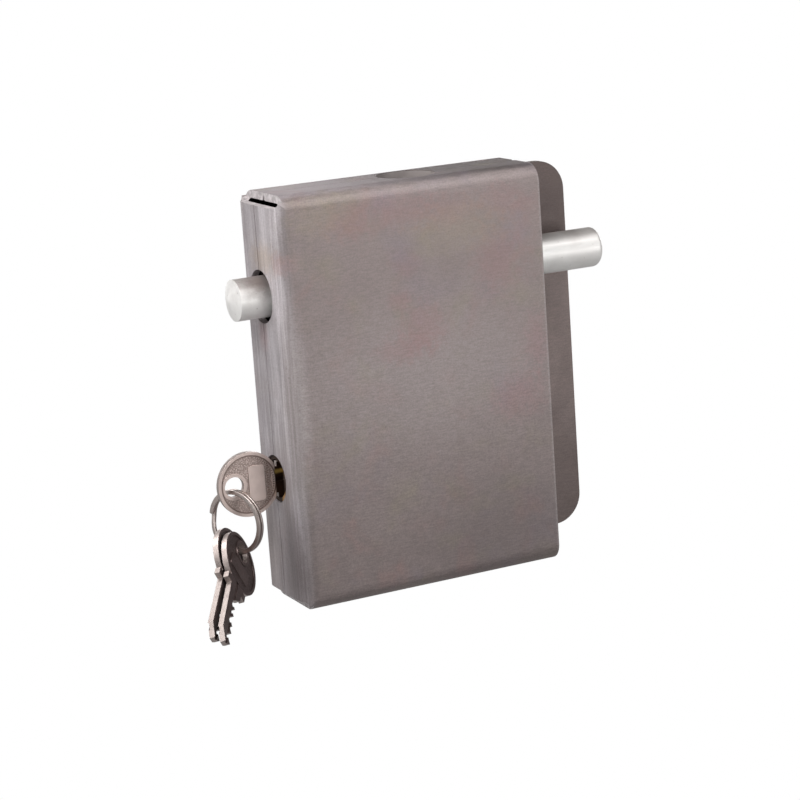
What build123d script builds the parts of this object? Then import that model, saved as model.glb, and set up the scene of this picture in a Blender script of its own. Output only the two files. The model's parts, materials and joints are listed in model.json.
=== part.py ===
from build123d import *
from math import cos, radians, sin, sqrt
import os

# A weld-on deadlock: two pressed steel half shells with a shield plate on the rear one,
# a round bolt that slides right through the case, and a key cylinder in the left wall
# whose crank lifts a forked bar into a groove of the bolt.
# Millimetres. X runs along the bolt, -Y is the front, +Z is up. The origin is the centre
# of the case's rear face, the face that is welded on.

# Pressed case
case_width = 112.0
case_height = 160.0
front_depth = 19.0
rear_depth = 18.5
sheet = 3.0
bend_radius = 7.0
seam_gap = 0.3
corner_slot_width = 4.2
corner_slot_height = 4.2
corner_slot_start = 1.8
corner_slot_end_radius = 1.8
corner_notch_width = 1.2
corner_notch_drop = 0.7
corner_notch_length = 2.5
flange_corner_radius = 2.0
shield_length = 30.7
shield_inset = 4.0
shield_corner_radius = 12.0
inner_clearance = 0.3

# Holes in the case
bolt_hole_clearance = 2.25
cylinder_hole_clearance = 0.25
top_hole_radius = 11.5
top_hole_from_left = 64.0

# Bolt
bolt_radius = 8.0
bolt_length = 160.0
bolt_height = 121.0
bolt_thrown_past_case = 34.5
bolt_travel = 35.0
bolt_end_fillet = 2.0
push_end_cone = 2.2
push_end_flat_radius = 0.8
bolt_guide_clearance = 0.3

# Guides of the bolt
guide_thickness = 4.0
guide_height = 32.0
guide_from_left = 8.0
end_plate_thickness = 4.0
end_plate_inset = 4.0
plate_corner_radius = 5.0
travel_clearance = 0.5

# Stop collar and its slotted pin
collar_length = 7.0
collar_radius = 12.5
collar_chamfer = 0.8
collar_bore_clearance = 0.05
roll_pin_radius = 2.0
roll_pin_wall = 0.6
roll_pin_slit = 0.8
roll_pin_clearance = 0.02

# Forked locking bar and its guides
bar_thickness = 4.0
bar_width = 21.0
bar_clearance = 0.2
groove_core_radius = 5.0
groove_clearance = 0.3
fork_clearance = 0.3
prong_tip_clearance = 0.5
prong_chamfer = 1.5
bar_foot = 8.0
bar_guide_thickness = 5.0
bar_guide_wall = 4.5
bar_guide_front_wall = 2.3
upper_guide_below_fork = 4.9
lower_guide_above_bracket = 1.0

# Crank that lifts the bar
cylinder_height = 50.0
crank_rim = 0.8
crank_thickness = 3.0
crank_throw = 6.0
crank_swing = 90.0
crank_pin_radius = 2.5
crank_pin_stand_out = 1.0
crank_pin_chamfer = 0.5
slot_clearance = 0.3
crank_clearance = 0.5
crank_screw_head_radius = 2.7
crank_screw_head_height = 1.3
crank_screw_slit_width = 0.7
crank_screw_slit_depth = 0.6
crank_screw_radius = 1.5
crank_screw_length = 6.0
tail_radius = 4.0
tail_square = 4.2
tail_clearance = 0.1

# Key cylinder
barrel_radius = 9.0
barrel_set_back = 0.6
barrel_end_wall = 0.6
mouth_clearance = 0.3
plug_radius = 6.2
plug_clearance = 0.05
plug_head_radius = 7.2
plug_head_thickness = 1.6
keyway_clearance = 0.15
keyway_end_clearance = 0.3
pin_radius = 1.4
pin_clearance = 0.1
driver_pin_length = 4.6
chamber_width = 9.0
chamber_height = 17.5
chamber_cover_thickness = 1.4
chamber_cover_width = 4.4
chamber_cover_end = 1.4
barrel_flange_thickness = 4.0
barrel_flange_width = 24.0
barrel_flange_height = 28.0
flange_screw_y = 8.5
flange_screw_z = 10.5
flange_screw_radius = 2.0
flange_screw_head_radius = 3.4
flange_screw_head_height = 2.4
flange_screw_socket_radius = 1.6
flange_screw_socket_depth = 1.2
flange_screw_length = 6.0
flange_screw_clearance = 0.3
tapped_hole_clearance = 0.05
bracket_thickness = 3.0
bracket_height = 34.0
bracket_foot = 16.0
bracket_tail_clearance = 1.0

# Keys
key_thickness = 2.2
bow_radius = 12.6
bow_flat = 11.0
bow_rim = 1.5
bow_recess = 0.3
bow_hole_radius = 3.9
bow_hole_offset = 6.1
bow_hole_rim = 1.3
panel_length = 6.6
panel_height = 14.0
panel_corner_radius = 1.2
neck_half_width = 5.2
shoulder_start = 11.8
shoulder_end = 14.8
shoulder_clearance = 0.5
blade_end = 44.2
blade_half_width = 4.1
blade_groove_width = 1.5
blade_groove_depth = 0.45
blade_groove_places = (0.0, -3.2)
tip_bevel_length = 5.0
tip_bevel_width = 3.4
tip_shoulder = 2.8
first_cut = 22.2
cut_spacing = 4.4
cut_floor_width = 1.3
cut_flank_angle = 50.0
cut_floors = (-0.6, 0.3, -0.4, 0.9, 0.2)
key_stand_out = 11.6

# Split ring and the two spare keys, whose tips end just above the surface the lock stands on
ring_inner_radius = 10.9
ring_wire_height = 1.8
ring_wire_width = 1.0
ring_coil_gap = 0.45
ring_jog_angle = 40.0
ring_jog_place = 190.0
ring_jog_steps = 6
ring_hang_gap = 1.0
ring_heading = -63.7
spare_heading = -122.7
spare_pitch = -23.2
spare_twist = 17.0
spare_key_gap = 0.5
spare_splay = 1.0
spare_hole_drop = 1.5
spare_hole_along = 0.2
second_key_lift = 1.8
second_key_draw = 1.3

# Weld beads that hold the inner plates on the rear shell
weld_leg = 2.0
bead_end_gap = 1.0
end_bead_count = 5
end_bead_length = 20.0
bar_guide_bead_length = 8.5
bracket_bead_length = 25.5

# How far a cut runs past the face it opens, and how near two places count as one
overshoot = 1.0
same_place = 0.01

# Worked out from the sizes above
left = -case_width / 2
right = case_width / 2
bottom = -case_height / 2
top = case_height / 2
case_depth = front_depth + rear_depth
seam_y = -rear_depth
rear_inner_y = -sheet
front_inner_y = sheet - case_depth
bolt_hole_radius = bolt_radius + bolt_hole_clearance
cylinder_hole_radius = barrel_radius + cylinder_hole_clearance
mouth_radius = plug_head_radius + mouth_clearance
shoulder_half_width = mouth_radius - shoulder_clearance
crank_radius = crank_throw + crank_pin_radius + crank_rim
bolt_z = bottom + bolt_height
bolt_right = right + bolt_thrown_past_case
bolt_left = bolt_right - bolt_length
cylinder_z = bottom + cylinder_height
end_plate_right = right - end_plate_inset
end_plate_left = end_plate_right - end_plate_thickness
collar_right = end_plate_left - travel_clearance
collar_left = collar_right - collar_length
middle_guide_right = collar_left - bolt_travel - travel_clearance
bow_x = left - key_stand_out
bow_hole_x = bow_x - bow_hole_offset
plug_left = bow_x + shoulder_end + keyway_clearance
barrel_left = left + barrel_set_back
barrel_right = bow_x + blade_end + barrel_end_wall
bracket_left = barrel_right
bracket_right = bracket_left + bracket_thickness
crank_left = bracket_right + crank_clearance
crank_right = crank_left + crank_thickness
bar_left = crank_right + crank_clearance
bar_right = bar_left + bar_thickness
bar_middle = (bar_left + bar_right) / 2
lift = 2 * crank_throw * sin(radians(crank_swing / 2))
fork_half_width = groove_core_radius + fork_clearance
prong_reach = sqrt(bolt_radius ** 2 - fork_half_width ** 2)
prong_top = bolt_z - prong_reach - prong_tip_clearance
fork_bottom = bolt_z - groove_core_radius - fork_clearance - lift
upper_guide_z = fork_bottom - fork_half_width - upper_guide_below_fork - bar_guide_thickness
lower_guide_z = cylinder_z + bracket_height / 2 + lower_guide_above_bracket


def box(x0, x1, y0, y1, z0, z1):
    """A block between two corners."""
    size = Box(x1 - x0, y1 - y0, z1 - z0)
    return Pos((x0 + x1) / 2, (y0 + y1) / 2, (z0 + z1) / 2) * size


def rod_x(radius, x0, x1, y, z):
    """A round bar along X."""
    return Pos((x0 + x1) / 2, y, z) * Rot(0, 90, 0) * Cylinder(radius, x1 - x0)


def rod_z(radius, z0, z1, x, y):
    """A round bar along Z."""
    return Pos(x, y, (z0 + z1) / 2) * Cylinder(radius, z1 - z0)


def shell_envelope(depth, inset):
    """The space of a pressed half, drawn in by inset: two crossed prisms with bent edges."""
    reach = depth if inset == 0 else depth + sheet
    far = right if inset == 0 else right + sheet
    bend = bend_radius - inset
    side = Pos((inset + reach) / 2, 0) * Rectangle(reach - inset, case_height - 2 * inset)
    side = fillet(side.vertices().sort_by(Axis.X)[:2], bend)
    plan = Pos((left + inset + far) / 2, (inset + reach) / 2) * Rectangle(far - left - inset, reach - inset)
    plan = fillet(plan.vertices().sort_by_distance((left, 0, 0))[:1], bend)
    along = Pos(left, 0, 0) * extrude(Plane.YZ * side, case_width + 2 * sheet)
    upright = extrude(Pos(0, 0, bottom) * plan, case_height)
    return along & upright


def stands_at(edge, x, y):
    """Whether an upright edge stands at a place in plan."""
    middle = edge.center()
    return abs(middle.X - x) < same_place and abs(middle.Y - y) < same_place


def corner_slot(depth):
    """The slot at a closed corner, between the end of the flange and the side wall's rim."""
    start = corner_slot_start
    end = depth + overshoot
    low = top - corner_slot_height
    high = top + overshoot
    outline = Pos((start + end) / 2, (low + high) / 2) * Rectangle(end - start, high - low)
    outline = fillet(outline.vertices().sort_by_distance((start, low, 0))[:1], corner_slot_end_radius)
    return Pos(left - overshoot, 0, 0) * extrude(Plane.YZ * outline, corner_slot_width + overshoot)


def corner_notch(depth):
    """The half of the V between the two flange ends that one half of the case has."""
    start = left + corner_slot_width - overshoot
    low = top - sheet - overshoot
    side = Polyline((depth - corner_notch_width, low), (depth, top - corner_notch_drop),
                    (depth + overshoot, top - corner_notch_drop), (depth + overshoot, low), close=True)
    return Pos(start, 0, 0) * extrude(Plane.YZ * make_face(side), corner_notch_length + overshoot)


def pressed_half(depth):
    """One half of the case, open towards +Y and on its right, with slots at its two closed corners."""
    half = shell_envelope(depth, 0) - shell_envelope(depth, sheet)
    for cut in (corner_slot(depth), corner_notch(depth)):
        half -= cut
        half -= mirror(cut, about=Plane.XY)
    corners = half.edges().filter_by(Axis.Z).filter_by(lambda e: stands_at(e, right, depth))
    half = fillet(corners, flange_corner_radius)
    half -= rod_x(bolt_hole_radius, left - overshoot, left + sheet + overshoot, depth, bolt_z)
    half -= rod_x(cylinder_hole_radius, left - overshoot, left + sheet + overshoot, depth, cylinder_z)
    return half


def top_hole():
    """The round access hole that the two halves share in the top wall."""
    return rod_z(top_hole_radius, top - sheet - overshoot, top + overshoot, left + top_hole_from_left, seam_y)


def make_front_shell():
    """The front half of the case."""
    half = pressed_half(front_depth - seam_gap / 2)
    return Pos(0, -case_depth, 0) * half - top_hole()


def make_rear_shell():
    """The rear half, whose back runs on past the case as the shield plate behind the bolt."""
    half = mirror(pressed_half(rear_depth - seam_gap / 2), about=Plane.XZ)
    reach = shield_length + bend_radius
    height = case_height - 2 * shield_inset
    plate = Pos(right - bend_radius + reach / 2, 0) * Rectangle(reach, height)
    plate = fillet(plate.vertices().sort_by(Axis.X)[-2:], shield_corner_radius)
    plate = extrude(Plane.XZ * plate, sheet)
    return half + plate - top_hole()


def upright_plate(x0, thickness, z0, z1):
    """A plate across the case that stands on the rear shell, with corners that clear the bends."""
    y0 = front_inner_y + inner_clearance
    outline = Pos((y0 + rear_inner_y) / 2, (z0 + z1) / 2) * Rectangle(rear_inner_y - y0, z1 - z0)
    outline = fillet(outline.vertices(), plate_corner_radius)
    return Pos(x0, 0, 0) * extrude(Plane.YZ * outline, thickness)


def make_bolt_guide(x0):
    """A guide plate round the bolt."""
    plate = upright_plate(x0, guide_thickness, bolt_z - guide_height / 2, bolt_z + guide_height / 2)
    hole = rod_x(bolt_radius + bolt_guide_clearance, x0 - overshoot, x0 + guide_thickness + overshoot,
                 seam_y, bolt_z)
    return plate - hole


def make_end_plate():
    """The plate that closes the right end of the case and carries the bolt."""
    reach = top - sheet - inner_clearance
    plate = upright_plate(end_plate_left, end_plate_thickness, -reach, reach)
    hole = rod_x(bolt_radius + bolt_guide_clearance, end_plate_left - overshoot, end_plate_right + overshoot,
                 seam_y, bolt_z)
    return plate - hole


def make_bolt():
    """The round bolt: a shallow turned cone at its push end and two grooves for the fork."""
    groove = bar_thickness / 2 + groove_clearance
    profile = [(bolt_left, 0), (bolt_left, push_end_flat_radius), (bolt_left + push_end_cone, bolt_radius)]
    for middle in (bar_middle, bar_middle + bolt_travel):
        profile += [(middle - groove, bolt_radius), (middle - groove, groove_core_radius),
                    (middle + groove, groove_core_radius), (middle + groove, bolt_radius)]
    profile += [(bolt_right, bolt_radius), (bolt_right, 0)]
    face = make_face(Polyline(*profile, close=True))
    face = fillet(face.vertices().sort_by_distance((bolt_right, bolt_radius, 0))[:1], bolt_end_fillet)
    bolt = Pos(0, seam_y, bolt_z) * revolve(face, Axis.X)
    return bolt - roll_pin_hole()


def roll_pin_hole():
    """The hole through collar and bolt."""
    middle = (collar_left + collar_right) / 2
    reach = collar_radius + overshoot
    return rod_z(roll_pin_radius, bolt_z - reach, bolt_z + reach, middle, seam_y)


def make_stop_collar():
    """The collar that stops the bolt at both ends of its travel."""
    ring = rod_x(collar_radius, collar_left, collar_right, seam_y, bolt_z)
    ring = chamfer(ring.edges().filter_by(GeomType.CIRCLE), collar_chamfer)
    ring -= rod_x(bolt_radius + collar_bore_clearance, collar_left - overshoot, collar_right + overshoot,
                  seam_y, bolt_z)
    return ring - roll_pin_hole()


def make_roll_pin():
    """The slotted spring pin through collar and bolt."""
    middle = (collar_left + collar_right) / 2
    reach = collar_radius - collar_chamfer
    outer = roll_pin_radius - roll_pin_clearance
    pin = rod_z(outer, bolt_z - reach, bolt_z + reach, middle, seam_y)
    low = bolt_z - reach - overshoot
    high = bolt_z + reach + overshoot
    pin -= rod_z(outer - roll_pin_wall, low, high, middle, seam_y)
    slit = roll_pin_slit / 2
    return pin - box(middle, middle + outer + overshoot, seam_y - slit, seam_y + slit, low, high)


def crank_pin_centre():
    """Where the crank's pin is at rest: low on the rear side, so that the swing lifts it evenly."""
    half = radians(crank_swing / 2)
    return seam_y + crank_throw * cos(half), cylinder_z - crank_throw * sin(half)


def make_locking_bar():
    """The flat bar: a fork for the bolt's groove above, a cross slot for the crank's pin below."""
    pin_y, pin_z = crank_pin_centre()
    half = bar_width / 2
    bar = box(bar_left, bar_right, seam_y - half, seam_y + half, pin_z - bar_foot, prong_top)
    tips = bar.edges().filter_by(Axis.X).sort_by(Axis.Z)[-2:]
    bar = chamfer(tips, prong_chamfer)
    start = bar_left - overshoot
    end = bar_right + overshoot
    bar -= box(start, end, seam_y - fork_half_width, seam_y + fork_half_width,
               fork_bottom, prong_top + overshoot)
    bar -= rod_x(fork_half_width, start, end, seam_y, fork_bottom)
    reach = crank_pin_radius + slot_clearance
    rear = seam_y + crank_throw
    for y in (pin_y, rear):
        bar -= rod_x(reach, start, end, y, pin_z)
    return bar - box(start, end, pin_y, rear, pin_z - reach, pin_z + reach)


def make_bar_guide(z):
    """A flat plate on the rear shell with a slot that the bar slides in."""
    half = bar_width / 2 + bar_clearance
    plate = box(bar_left - bar_guide_wall, bar_right + bar_guide_wall,
                seam_y - half - bar_guide_front_wall, rear_inner_y, z, z + bar_guide_thickness)
    slot = box(bar_left - bar_clearance, bar_right + bar_clearance,
               seam_y - half, seam_y + half, z - overshoot, z + bar_guide_thickness + overshoot)
    return plate - slot


def make_bracket():
    """The angle that carries the cylinder: its foot is welded to the rear shell."""
    half = bracket_height / 2
    front = seam_y - barrel_flange_width / 2
    leg = box(bracket_left, bracket_right, front, rear_inner_y, cylinder_z - half, cylinder_z + half)
    foot = box(bracket_left, bracket_right + bracket_foot, rear_inner_y - bracket_thickness, rear_inner_y,
               cylinder_z - half, cylinder_z + half)
    angle = leg + foot
    start = bracket_left - overshoot
    end = bracket_right + overshoot
    angle -= rod_x(tail_radius + bracket_tail_clearance, start, end, seam_y, cylinder_z)
    for side in (-1, 1):
        angle -= rod_x(flange_screw_radius + flange_screw_clearance, start, end,
                       seam_y + side * flange_screw_y, cylinder_z + side * flange_screw_z)
    return angle


def make_bracket_screws():
    """The two screws through the bracket into the cylinder's flange."""
    screws = []
    for side in (-1, 1):
        y = seam_y + side * flange_screw_y
        z = cylinder_z + side * flange_screw_z
        shank = rod_x(flange_screw_radius, bracket_right - flange_screw_length, bracket_right, y, z)
        head_end = bracket_right + flange_screw_head_height
        head = rod_x(flange_screw_head_radius, bracket_right, head_end, y, z)
        floor = head_end - flange_screw_socket_depth
        socket = rod_x(flange_screw_socket_radius, floor, head_end + overshoot, y, z)
        screws.append(shank + head - socket)
    return Compound(children=screws)


def pin_places():
    """Where the pins stand along X: over the cuts of the key."""
    return [bow_x + first_cut + number * cut_spacing for number in range(len(cut_floors))]


def pin_bores():
    """The row of bores that plug and barrel share, from the keyway up through the pin chamber."""
    radius = pin_radius + pin_clearance
    roof = cylinder_z + chamber_height + overshoot
    bores = [rod_z(radius, cylinder_z, roof, x, seam_y) for x in pin_places()]
    return Compound(children=bores)


def make_barrel():
    """The brass barrel: a round nose in the wall, a pin chamber above and a screw flange behind."""
    half = chamber_width / 2
    chamber_left = left + sheet + bracket_thickness
    barrel = rod_x(barrel_radius, barrel_left, barrel_right, seam_y, cylinder_z)
    barrel += box(chamber_left, barrel_right, seam_y - half, seam_y + half,
                  cylinder_z, cylinder_z + chamber_height)
    barrel += box(barrel_right - barrel_flange_thickness, barrel_right,
                  seam_y - barrel_flange_width / 2, seam_y + barrel_flange_width / 2,
                  cylinder_z - barrel_flange_height / 2, cylinder_z + barrel_flange_height / 2)
    barrel -= rod_x(mouth_radius, barrel_left - overshoot, plug_left + plug_head_thickness + plug_clearance,
                    seam_y, cylinder_z)
    barrel -= rod_x(plug_radius + plug_clearance, barrel_left, barrel_right + overshoot, seam_y, cylinder_z)
    for bore in pin_bores().children:
        barrel -= bore
    barrel -= chamber_cover_block(pin_clearance)
    for side in (-1, 1):
        barrel -= rod_x(flange_screw_radius + tapped_hole_clearance, barrel_right - barrel_flange_thickness,
                        barrel_right + overshoot, seam_y + side * flange_screw_y,
                        cylinder_z + side * flange_screw_z)
    return barrel


def chamber_cover_block(grow):
    """The strip over the pin springs, or with grow the groove that it slides into."""
    places = pin_places()
    margin = pin_radius + chamber_cover_end
    half = chamber_cover_width / 2 + grow
    roof = cylinder_z + chamber_height
    return box(places[0] - margin - grow, places[-1] + margin + grow, seam_y - half, seam_y + half,
               roof - chamber_cover_thickness, roof + grow)


def make_plug():
    """The turning plug: a head in the barrel's mouth, the keyway, the pin bores and a square tail."""
    plug = rod_x(plug_radius, plug_left, barrel_right, seam_y, cylinder_z)
    plug += rod_x(plug_head_radius, plug_left, plug_left + plug_head_thickness, seam_y, cylinder_z)
    plug += rod_x(tail_radius, barrel_right, crank_left, seam_y, cylinder_z)
    half = tail_square / 2
    plug += box(crank_left, crank_right - crank_screw_head_height, seam_y - half, seam_y + half,
                cylinder_z - half, cylinder_z + half)
    slot = key_thickness / 2 + keyway_clearance
    reach = blade_half_width + keyway_clearance
    plug -= box(plug_left - overshoot, bow_x + blade_end + keyway_end_clearance, seam_y - slot, seam_y + slot,
                cylinder_z - reach, cylinder_z + reach)
    for bore in pin_bores().children:
        plug -= bore
    return plug - rod_x(crank_screw_radius, crank_right - crank_screw_length, crank_right, seam_y, cylinder_z)


def make_key_pins():
    """The lower pins, in the plug, level with the ridges of the blade so that the key can be drawn."""
    foot = cylinder_z + blade_half_width + keyway_end_clearance
    head = cylinder_z + sqrt(plug_radius ** 2 - pin_radius ** 2) - pin_clearance
    return Compound(children=[rod_z(pin_radius, foot, head, x, seam_y) for x in pin_places()])


def driver_pin_top():
    """How high the upper pins reach in their chamber."""
    return cylinder_z + plug_radius + plug_clearance + pin_clearance + driver_pin_length


def make_driver_pins():
    """The upper pins, in the chamber just above the plug."""
    head = driver_pin_top()
    foot = head - driver_pin_length
    return Compound(children=[rod_z(pin_radius, foot, head, x, seam_y) for x in pin_places()])


def make_driver_springs():
    """The springs on the upper pins, each a plain solid of the spring's outer size."""
    roof = cylinder_z + chamber_height - chamber_cover_thickness
    return Compound(children=[rod_z(pin_radius, driver_pin_top(), roof, x, seam_y) for x in pin_places()])


def make_crank():
    """The disc on the plug's tail, with the pin that lifts the bar."""
    pin_y, pin_z = crank_pin_centre()
    disc = rod_x(crank_radius, crank_left, crank_right, seam_y, cylinder_z)
    half = tail_square / 2 + tail_clearance
    start = crank_left - overshoot
    end = crank_right + overshoot
    disc -= box(start, end, seam_y - half, seam_y + half, cylinder_z - half, cylinder_z + half)
    disc -= rod_x(crank_screw_head_radius + tail_clearance, crank_right - crank_screw_head_height, end,
                  seam_y, cylinder_z)
    return disc - rod_x(crank_pin_radius, start, end, pin_y, pin_z)


def make_crank_pin():
    """The pin pressed into the crank, which works in the bar's slot."""
    pin_y, pin_z = crank_pin_centre()
    pin = rod_x(crank_pin_radius, crank_left, bar_right + crank_pin_stand_out, pin_y, pin_z)
    return chamfer(pin.edges().filter_by(GeomType.CIRCLE).sort_by(Axis.X)[-1:], crank_pin_chamfer)


def make_crank_screw():
    """The flat-headed screw that holds the crank on the plug."""
    start = crank_right - crank_screw_head_height
    head = rod_x(crank_screw_head_radius, start, crank_right, seam_y, cylinder_z)
    slit = crank_screw_slit_width / 2
    head -= box(crank_right - crank_screw_slit_depth, crank_right + overshoot, seam_y - slit, seam_y + slit,
                cylinder_z - crank_screw_head_radius, cylinder_z + crank_screw_head_radius)
    return head + rod_x(crank_screw_radius, crank_right - crank_screw_length, start, seam_y, cylinder_z)


def bow_outline(radius, flat):
    """A round key bow with its blade side cut flat."""
    disc = Circle(radius)
    return disc - Pos(flat + radius, 0) * Rectangle(2 * radius, 2 * radius)


def tip_cut(side, length, width):
    """What one slope of the blade's tip takes off: a corner this long and wide."""
    edge = side * blade_half_width
    slant = (overshoot * length / width, side * overshoot)
    return make_face(Polyline((blade_end - length - slant[0], edge + slant[1]),
                              (blade_end + length, edge + slant[1]),
                              (blade_end, edge - side * width), close=True))


def blade_outline():
    """The blade from the shoulder to its bevelled tip, with the cuts along its upper edge."""
    blade = Pos((shoulder_end + blade_end) / 2, 0) * Rectangle(blade_end - shoulder_end, 2 * blade_half_width)
    slope = cos(radians(cut_flank_angle)) / sin(radians(cut_flank_angle))
    for number, floor in enumerate(cut_floors):
        middle = first_cut + number * cut_spacing
        rise = blade_half_width + overshoot - floor
        low = cut_floor_width / 2
        high = low + rise * slope
        blade -= make_face(Polyline((middle - low, floor), (middle + low, floor), (middle + high, floor + rise),
                                    (middle - high, floor + rise), close=True))
    blade -= tip_cut(-1, tip_bevel_length, tip_bevel_width)
    return blade - tip_cut(1, tip_shoulder, tip_shoulder)


def make_key():
    """A key in its own frame: bow centre at the origin, blade along +X, cuts towards +Y."""
    outline = bow_outline(bow_radius, bow_flat)
    neck_start = bow_flat / 2
    outline += Pos((neck_start + shoulder_start) / 2, 0) * Rectangle(
        shoulder_start - neck_start, 2 * neck_half_width)
    outline += Pos((shoulder_start + shoulder_end) / 2, 0) * Rectangle(
        shoulder_end - shoulder_start, 2 * shoulder_half_width)
    outline += blade_outline()
    outline -= Pos(-bow_hole_offset, 0) * Circle(bow_hole_radius)
    key = extrude(outline, key_thickness / 2, both=True)
    field = bow_outline(bow_radius - bow_rim, bow_flat - bow_rim)
    field -= Pos(-bow_hole_offset, 0) * Circle(bow_hole_radius + bow_hole_rim)
    field -= Pos(panel_length / 2, 0) * RectangleRounded(panel_length, panel_height, panel_corner_radius)
    groove_end = blade_end + overshoot
    groove = Pos((bow_flat + groove_end) / 2, 0) * Rectangle(groove_end - bow_flat, blade_groove_width)
    face = key_thickness / 2
    for level, across in zip((face, -face), blade_groove_places):
        key -= Pos(0, 0, level) * extrude(field, bow_recess, both=True)
        key -= Pos(0, across, level) * extrude(groove, blade_groove_depth, both=True)
    return key


def bow_hole_centre():
    """The hole in the bow of the key that is in the lock."""
    return Vector(bow_hole_x, seam_y, cylinder_z)


def ring_frame():
    """The split ring's plane: it hangs by its inside from the bottom of the key's hole."""
    along = Vector(cos(radians(ring_heading)), sin(radians(ring_heading)), 0)
    drop = bow_hole_radius - ring_hang_gap + ring_inner_radius
    centre = bow_hole_centre() - Vector(0, 0, drop)
    return Plane(origin=centre, x_dir=along, z_dir=along.cross(Vector(0, 0, 1)))


def ring_section(angle, level):
    """The wire's section at one place round the ring."""
    radius = ring_inner_radius + ring_wire_height / 2
    radial = Vector(cos(radians(angle)), sin(radians(angle)), 0)
    tangent = Vector(-sin(radians(angle)), cos(radians(angle)), 0)
    place = Plane(origin=radial * radius + Vector(0, 0, level), x_dir=radial, z_dir=tangent)
    return place * Rectangle(ring_wire_height, ring_wire_width)


def make_key_ring():
    """The split ring: two flat coils of flat wire a small gap apart, joined by a jog."""
    level = (ring_wire_width + ring_coil_gap) / 2
    start = ring_jog_angle / 2
    lower = revolve(ring_section(start, -level), Axis.Z, 360 - ring_jog_angle)
    upper = revolve(ring_section(start, level), Axis.Z, 360 - ring_jog_angle)
    sections = []
    for step in range(ring_jog_steps + 1):
        share = step / ring_jog_steps
        rise = share * share * (3 - 2 * share)
        sections.append(ring_section(start * (2 * share - 1), level * (2 * rise - 1)))
    ring = lower + loft(sections, ruled=True) + upper
    print("least gap between the ring's coils", ring_coil_gap)
    return ring_frame().location * Rot(0, 0, ring_jog_place) * ring


def spare_key_frame(number):
    """Where a spare key hangs: threaded on the bottom of the ring, its tip just above the surface."""
    heading = radians(spare_heading)
    pitch = radians(spare_pitch)
    twist = radians(spare_twist)
    along = Vector(cos(heading) * cos(pitch), sin(heading) * cos(pitch), sin(pitch))
    level = Vector(-sin(heading), cos(heading), 0)
    upper = along.cross(level)
    face = level * cos(twist) + upper * sin(twist)
    cuts = face.cross(along)
    ring = ring_frame()
    wire = ring.origin - Vector(0, 0, ring_inner_radius + ring_wire_height / 2)
    hole = wire + cuts * spare_hole_drop - along * spare_hole_along
    if number == 1:
        pitch_out = radians(spare_splay)
        hole = hole - face * (key_thickness + spare_key_gap) - cuts * second_key_lift - along * second_key_draw
        drawn = along * cos(pitch_out) - face * sin(pitch_out)
        face = face * cos(pitch_out) + along * sin(pitch_out)
        along = drawn
    return Plane(origin=hole + along * bow_hole_offset, x_dir=along, z_dir=face)


def lock_key_frame():
    """Where the key stands in the lock: blade along +X, cuts up."""
    return Plane(origin=(bow_x, seam_y, cylinder_z), x_dir=(1, 0, 0), z_dir=(0, -1, 0))


def weld_bead(x, z0, z1, side):
    """A fillet bead in the corner between an upright plate and the rear shell."""
    corner = Polyline((0, 0), (side * weld_leg, 0), (0, -weld_leg), close=True)
    return Pos(x, rear_inner_y, z0) * extrude(make_face(corner), z1 - z0)


def make_weld_beads():
    """The beads that hold the inner plates and the bracket on the rear shell."""
    margin = plate_corner_radius + bead_end_gap
    reach = guide_height / 2 - margin
    beads = [weld_bead(left + guide_from_left + guide_thickness, bolt_z - reach, bolt_z + reach, 1)]
    beads.append(weld_bead(middle_guide_right - guide_thickness, bolt_z - reach, bolt_z + reach, -1))
    low = -(top - sheet - inner_clearance - margin)
    step = (-2 * low - end_bead_length) / (end_bead_count - 1)
    for number in range(end_bead_count):
        start = low + number * step
        beads.append(weld_bead(end_plate_right, start, start + end_bead_length, 1))
    for z in (upper_guide_z + bar_guide_thickness, lower_guide_z + bar_guide_thickness):
        strip = Polyline((0, 0), (0, weld_leg), (-weld_leg, 0), close=True)
        bead = extrude(Plane.YZ * make_face(strip), bar_guide_bead_length)
        beads.append(Pos(bar_middle - bar_guide_bead_length / 2, rear_inner_y, z) * bead)
    half = bracket_bead_length / 2
    beads.append(weld_bead(bracket_right + bracket_foot, cylinder_z - half, cylinder_z + half, 1))
    return Compound(children=beads)


def write(name, shape):
    """Write one piece to parts/NAME.step."""
    export_step(shape, f"parts/{name}.step")


os.makedirs("parts", exist_ok=True)
write("front_shell", make_front_shell())
write("rear_shell", make_rear_shell())
write("right_end_plate", make_end_plate())
write("left_bolt_guide", make_bolt_guide(left + guide_from_left))
write("middle_bolt_guide", make_bolt_guide(middle_guide_right - guide_thickness))
write("weld_beads", make_weld_beads())
write("bolt", make_bolt())
write("stop_collar", make_stop_collar())
write("collar_roll_pin", make_roll_pin())
write("locking_bar", make_locking_bar())
write("upper_bar_guide", make_bar_guide(upper_guide_z))
write("lower_bar_guide", make_bar_guide(lower_guide_z))
write("cylinder_bracket", make_bracket())
write("bracket_screws", make_bracket_screws())
write("cylinder_barrel", make_barrel())
write("chamber_cover", chamber_cover_block(0))
write("driver_pins", make_driver_pins())
write("driver_springs", make_driver_springs())
write("cylinder_plug", make_plug())
write("key_pins", make_key_pins())
write("crank", make_crank())
write("crank_pin", make_crank_pin())
write("crank_screw", make_crank_screw())
write("key", lock_key_frame().location * make_key())
write("key_ring", make_key_ring())
for number in range(2):
    write(f"spare_key_{number + 1}", spare_key_frame(number).location * make_key())
print("lift of the bar", round(lift, 3), "per degree", round(lift / crank_swing, 4))
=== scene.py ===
import bmesh
import bpy
import json
import math
import numpy as np
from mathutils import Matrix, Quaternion, Vector


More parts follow.
